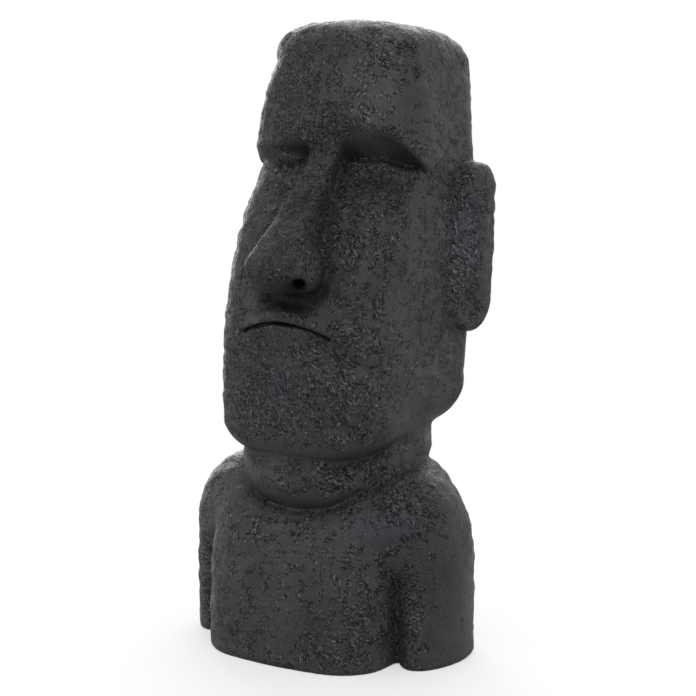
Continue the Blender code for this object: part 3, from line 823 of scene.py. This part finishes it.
def painted_light_and_shade_map(points, normals):
    """Up to 1 where shade is painted into hollows and listed places, 0 elsewhere, below 0 where light
    is painted.
    """
    ahead = points + HOLLOW_SHADE_REACH * normals
    hollow = smoothstep(*HOLLOW_SHADE_FEEL, statue(*ahead.T) / HOLLOW_SHADE_REACH)
    beside = smoothstep(*EAR_SIDE, np.abs(points[:, 0])) * smoothstep(*EAR_SIDE_HEIGHTS, points[:, 2])
    hollow = hollow * smoothstep(*HOLLOW_SHADE_HEIGHTS, points[:, 2]) * (1.0 - EAR_SIDE_LOSS * beside)
    # Painted shade, or painted light below 0, at the listed places
    painted = sum(share * blob(points, *place) for share, *place in PAINTED_PLACES)
    return np.clip(HOLLOW_SHADE_SHARE * hollow + painted, -1.0, 1.0)


def painted_sheen_map(points):
    """Where a faint violet sheen is painted into the stone's colour."""
    cast = sum(blob(points, *place) for place in SHEEN_PLACES)
    return cast * smoothstep(*SHEEN_EDGE, noise(points, *SHEEN_CLOUDS))


def layer(points, height, *field):
    """One layer of relief, as high as height."""
    return height * noise(points, *field)


def relief(points, rough):
    """How far the skin stands out at each point."""
    pitted = smoothstep(*PITTED_EDGE, noise(points, *PITTED_AREAS))
    holes = -PIT_DEPTH * pits(points, *PITS) * pitted
    folds = layer(points @ FOLD_AXES, *FOLDS)
    wrinkles = layer(points * WRINKLE_AXES, *WRINKLES)
    return layer(points, *LUMPS) + rough * (folds + wrinkles + holes)


def roughen(mesh):
    """Push the skin along its normals, and keep the maps that the material reads."""
    count = len(mesh.vertices)
    points = np.empty(count * 3)
    normals = np.empty(count * 3)
    mesh.vertices.foreach_get("co", points)
    mesh.vertices.foreach_get("normal", normals)
    points, normals = points.reshape(-1, 3), normals.reshape(-1, 3)
    rough = roughness_map(points, normals)
    # Painted shade in hollows, and painted light and shade at listed places
    painted_light_and_shade = painted_light_and_shade_map(points, normals)
    height = relief(points, rough) * smoothstep(*GROUND_FADE, points[:, 2])
    points = points + normals * height[:, None]
    points[:, 2] = np.maximum(points[:, 2], 0.0)
    mesh.vertices.foreach_set("co", points.ravel())
    # The kept maps include the painted violet sheen and the painted light and shade
    for name, values in (("rough", rough), ("painted_sheen", painted_sheen_map(points)), ("painted_light_and_shade", painted_light_and_shade)):
        attribute = mesh.attributes.new(name, "FLOAT", "POINT")
        attribute.data.foreach_set("value", values)


def thin(obj):
    """Collapse the flatter stretches until the piece is within its triangle budget."""
    collapse = obj.modifiers.new("collapse", "DECIMATE")
    collapse.ratio = TRIANGLES / (2 * len(obj.data.polygons))
    graph = bpy.context.evaluated_depsgraph_get()
    mesh = bpy.data.meshes.new_from_object(obj.evaluated_get(graph))
    obj.modifiers.remove(collapse)
    obj.data = mesh


def add(tree, kind, **settings):
    """A new node with its settings and socket values."""
    node = tree.nodes.new(kind)
    for name, value in settings.items():
        if name in node.inputs:
            node.inputs[name].default_value = value
        else:
            setattr(node, name, value)
    return node


def calc(tree, operation, *values):
    """A math node on sockets and plain numbers."""
    node = add(tree, "ShaderNodeMath", operation=operation)
    for socket, value in zip(node.inputs, values):
        if isinstance(value, bpy.types.NodeSocket):
            tree.links.new(value, socket)
        else:
            socket.default_value = value
    return node.outputs["Value"]


def mixed(tree, factor, first, second, blend="MIX"):
    """Two colours mixed by a factor, each a socket or a plain value."""
    node = add(tree, "ShaderNodeMix", data_type="RGBA", blend_type=blend)
    sockets = [socket for socket in node.inputs if socket.enabled]
    for socket, value in zip(sockets, (factor, first, second)):
        if isinstance(value, bpy.types.NodeSocket):
            tree.links.new(value, socket)
        else:
            socket.default_value = value
    return [socket for socket in node.outputs if socket.enabled][0]


def either(tree, mask, first, second):
    """The first value where the mask is 0 and the second where it is 1."""
    return calc(tree, "MULTIPLY_ADD", calc(tree, "SUBTRACT", second, first), mask, first)


def grain(tree, place, size, detail, distortion=0.0):
    """Noise from 0 to 1 with spots about as wide as size."""
    node = add(tree, "ShaderNodeTexNoise", Scale=1.0 / size, Detail=detail, Distortion=distortion)
    tree.links.new(place, node.inputs["Vector"])
    return node.outputs["Fac"]


def ramp(tree, value, *stops):
    """Colours or plain shades at their places along a value."""
    node = add(tree, "ShaderNodeValToRGB")
    while len(node.color_ramp.elements) < len(stops):
        node.color_ramp.elements.new(0.5)
    for element, (place, colour) in zip(node.color_ramp.elements, stops):
        element.position = place
        element.color = colour if isinstance(colour, tuple) else (colour, colour, colour, 1.0)
    tree.links.new(value, node.inputs["Fac"])
    return node.outputs["Color"]


def kept_map(tree, name):
    """A map that roughen() has kept on the mesh."""
    return add(tree, "ShaderNodeAttribute", attribute_name=name).outputs["Fac"]


def stretched(tree, place, stretch, turn):
    """Coordinates in which grain comes out long along one direction: the z axis, turned."""
    scale = (1.0, 1.0, stretch)
    node = add(tree, "ShaderNodeMapping", vector_type="TEXTURE", Scale=scale, Rotation=turn)
    tree.links.new(place, node.inputs["Vector"])
    return node.outputs["Vector"]


def bent(tree, place):
    """Coordinates pushed about a little, so that marks come out crooked."""
    node = add(tree, "ShaderNodeTexNoise", Scale=1.0 / BEND_SIZE, Detail=1.0)
    tree.links.new(place, node.inputs["Vector"])
    push = add(tree, "ShaderNodeVectorMath", operation="MULTIPLY_ADD")
    tree.links.new(node.outputs["Color"], push.inputs[0])
    push.inputs[1].default_value = (BEND_PUSH, BEND_PUSH, BEND_PUSH)
    tree.links.new(place, push.inputs[2])
    return push.outputs["Vector"]


def strokes(tree, place):
    """Noise drawn out into short strokes that lean one way or another from area to area."""
    leaning = []
    for turn in STROKE_TURNS:
        along = stretched(tree, place, STROKE_STRETCH, turn)
        leaning.append(grain(tree, along, STROKE_WIDTH, STROKE_DETAIL, STROKE_DISTORTION))
    crosswise = ramp(tree, grain(tree, place, *CROSSWISE_AREAS), *CROSSWISE_STOPS)
    upright = ramp(tree, grain(tree, place, *UPRIGHT_AREAS), *UPRIGHT_STOPS)
    return either(tree, upright, either(tree, crosswise, leaning[0], leaning[1]), leaning[2])


def pinholes(tree, place):
    """0 between pinholes, down to -1 in them. A share of the cells has one."""
    node = add(tree, "ShaderNodeTexVoronoi", Scale=1.0 / PINHOLE_CELL)
    tree.links.new(place, node.inputs["Vector"])
    depth = calc(tree, "MULTIPLY_ADD", node.outputs["Distance"], PINHOLE_STEEPNESS, -1.0)
    depth = calc(tree, "SMOOTH_MIN", depth, 0.0, PINHOLE_SOFTNESS)
    split = add(tree, "ShaderNodeSeparateXYZ")
    tree.links.new(node.outputs["Color"], split.inputs[0])
    kept = calc(tree, "LESS_THAN", split.outputs["X"], PINHOLE_SHARE)
    return calc(tree, "MULTIPLY", depth, kept)


def worked_patches(tree, place, rough):
    """How far the skin has been worked with a tool: 1 in patches, and a little everywhere."""
    worked = calc(tree, "MULTIPLY_ADD", rough, WORKED_GAIN, WORKED_OFFSET)
    worked = calc(tree, "ADD", grain(tree, place, *WORKED), worked)
    return ramp(tree, worked, *WORKED_STOPS)


def skin(tree, place, rough):
    """Height in metres of the fine relief, and how much its painted shade and glints darken or
    lighten the stone.
    """
    worked = worked_patches(tree, place, rough)
    place = bent(tree, place)
    lines = strokes(tree, place)
    # Painted shade in the strokes' grooves and painted glints on their ridges
    tone = ramp(tree, lines, *STROKE_SHADE_AND_GLINTS)
    limit = calc(tree, "SMOOTH_MIN", rough, PINHOLE_MOST, PINHOLE_MOST_SOFTNESS)
    holes = calc(tree, "MULTIPLY", pinholes(tree, place), limit)
    height = calc(tree, "MULTIPLY_ADD", lines, STROKE_HEIGHT, -STROKE_HEIGHT / 2)
    height = calc(tree, "MULTIPLY_ADD", grain(tree, place, *GRIT), GRIT_HEIGHT, height)
    height = calc(tree, "MULTIPLY", height, worked)
    height = calc(tree, "MULTIPLY_ADD", holes, PINHOLE_DEPTH, height)
    shade = either(tree, worked, 1.0, tone)
    # Painted shade in the pinholes
    shade = calc(tree, "MULTIPLY_ADD", holes, PINHOLE_SHADE, shade)
    return height, calc(tree, "MAXIMUM", shade, DARKEST_SHADE)


def tint(tree, place, painted_sheen):
    """Clouds of darker and paler charcoal, with a warm cast in some, and a painted violet sheen by
    its map.
    """
    colour = ramp(tree, grain(tree, place, *CLOUDS), *CLOUD_STOPS)
    warm = ramp(tree, grain(tree, place, *WARM_CLOUDS), *WARM_STOPS)
    colour = mixed(tree, warm, colour, WARM_STONE)
    return mixed(tree, painted_sheen, colour, SHEEN_VIOLET)


def stone():
    """Charcoal stone, with painted shade and painted light in its colour, and duller where shade is
    painted.
    """
    material = bpy.data.materials.new(SLOT)
    material.use_nodes = True
    tree = material.node_tree
    shader = tree.nodes["Principled BSDF"]
    shader.inputs["Specular IOR Level"].default_value = STONE_SPECULAR
    place = add(tree, "ShaderNodeTexCoord").outputs["Object"]
    rough, painted_sheen, painted_light_and_shade = (kept_map(tree, name) for name in ("rough", "painted_sheen", "painted_light_and_shade"))
    height, shade = skin(tree, place, rough)
    # Painted shade darkens the colour and painted light lightens it
    shade = calc(tree, "MULTIPLY", shade, calc(tree, "MULTIPLY_ADD", painted_light_and_shade, -PAINTED_SHADE_STRENGTH, 1.0))
    colour = mixed(tree, 1.0, tint(tree, place, painted_sheen), shade, "MULTIPLY")
    tree.links.new(colour, shader.inputs["Base Color"])
    polish = ramp(tree, grain(tree, place, *POLISH), *POLISH_STOPS)
    polish = calc(tree, "MULTIPLY_ADD", calc(tree, "MAXIMUM", painted_light_and_shade, 0.0), PAINTED_SHADE_ROUGHENING, polish)
    tree.links.new(polish, shader.inputs["Roughness"])
    bump = add(tree, "ShaderNodeBump", Strength=1.0, Distance=1.0)
    tree.links.new(height, bump.inputs["Height"])
    tree.links.new(bump.outputs["Normal"], shader.inputs["Normal"])
    return material


def statue_piece():
    """The statue, riding on the CAD's only body in place of its only node."""
    piece = bpy.data.objects.new(PIECE, carved_mesh())
    bpy.context.scene.collection.objects.link(piece)
    roughen(piece.data)
    thin(piece)
    piece.data.materials.append(stone())
    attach(piece, "root")
    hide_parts(NODE)


def floor_material():
    """Matt white that fades out before the floor's edge, so that no edge or horizon shows."""
    material = bpy.data.materials.new("floor")
    material.use_nodes = True
    tree = material.node_tree
    shader = tree.nodes["Principled BSDF"]
    shader.inputs["Base Color"].default_value = FLOOR_COLOUR
    shader.inputs["Roughness"].default_value = FLOOR_ROUGHNESS
    shader.inputs["Specular IOR Level"].default_value = FLOOR_SPECULAR
    place = add(tree, "ShaderNodeTexCoord").outputs["Object"]
    length = add(tree, "ShaderNodeVectorMath", operation="LENGTH")
    tree.links.new(place, length.inputs[0])
    fade = add(tree, "ShaderNodeMapRange", interpolation_type="SMOOTHERSTEP")
    limits = (*FLOOR_FADE, FLOOR_COVER, 0.0)
    for name, value in zip(("From Min", "From Max", "To Min", "To Max"), limits):
        fade.inputs[name].default_value = value
    tree.links.new(length.outputs["Value"], fade.inputs["Value"])
    tree.links.new(fade.outputs["Result"], shader.inputs["Alpha"])
    return material


def studio_floor():
    radius = FLOOR_FADE[1] + FLOOR_MARGIN
    bpy.ops.mesh.primitive_circle_add(vertices=FLOOR_SIDES, radius=radius, fill_type="NGON")
    floor = bpy.context.object
    floor.name = "floor"
    floor.data.materials.append(floor_material())


def softbox(name, place, size, power, colour):
    """Square lamp aimed at the middle of the statue."""
    light = bpy.data.lights.new(name, "AREA")
    light.size = size
    light.energy = power
    light.color = colour
    lamp = bpy.data.objects.new(name, light)
    bpy.context.scene.collection.objects.link(lamp)
    lamp.location = place
    aim = Vector((0.0, 0.0, CROWN_HEIGHT / 2)) - Vector(place)
    lamp.rotation_euler = aim.to_track_quat("-Z", "Y").to_euler()


def surroundings():
    """White behind the statue, and a softer dome that lights it mostly from above."""
    world = bpy.data.worlds.new("studio")
    world.use_nodes = True
    tree = world.node_tree
    background = tree.nodes["Background"]
    background.inputs["Strength"].default_value = 1.0
    height = add(tree, "ShaderNodeSeparateXYZ")
    tree.links.new(add(tree, "ShaderNodeTexCoord").outputs["Generated"], height.inputs[0])
    share = add(tree, "ShaderNodeMapRange")
    share.inputs["From Min"].default_value = -1.0
    tree.links.new(height.outputs["Z"], share.inputs["Value"])
    dome = ramp(tree, share.outputs["Result"], *DOME)
    camera_ray = add(tree, "ShaderNodeLightPath").outputs["Is Camera Ray"]
    seen = mixed(tree, camera_ray, dome, (*WHITE, 1.0))
    tree.links.new(seen, background.inputs["Color"])
    bpy.context.scene.world = world


def studio():
    surroundings()
    bpy.context.scene.view_settings.view_transform = "Standard"
    for lamp in LAMPS:
        softbox(*lamp)


def camera():
    data = bpy.data.cameras.new("camera")
    data.sensor_width = SENSOR_WIDTH
    data.lens = LENS
    view = bpy.data.objects.new("camera", data)
    bpy.context.scene.collection.objects.link(view)
    view.location = CAMERA_PLACE
    aim = Vector(CAMERA_AIM) - view.location
    view.rotation_euler = aim.to_track_quat("-Z", "Y").to_euler()
    bpy.context.scene.camera = view


statue_piece()
studio_floor()
studio()
camera()
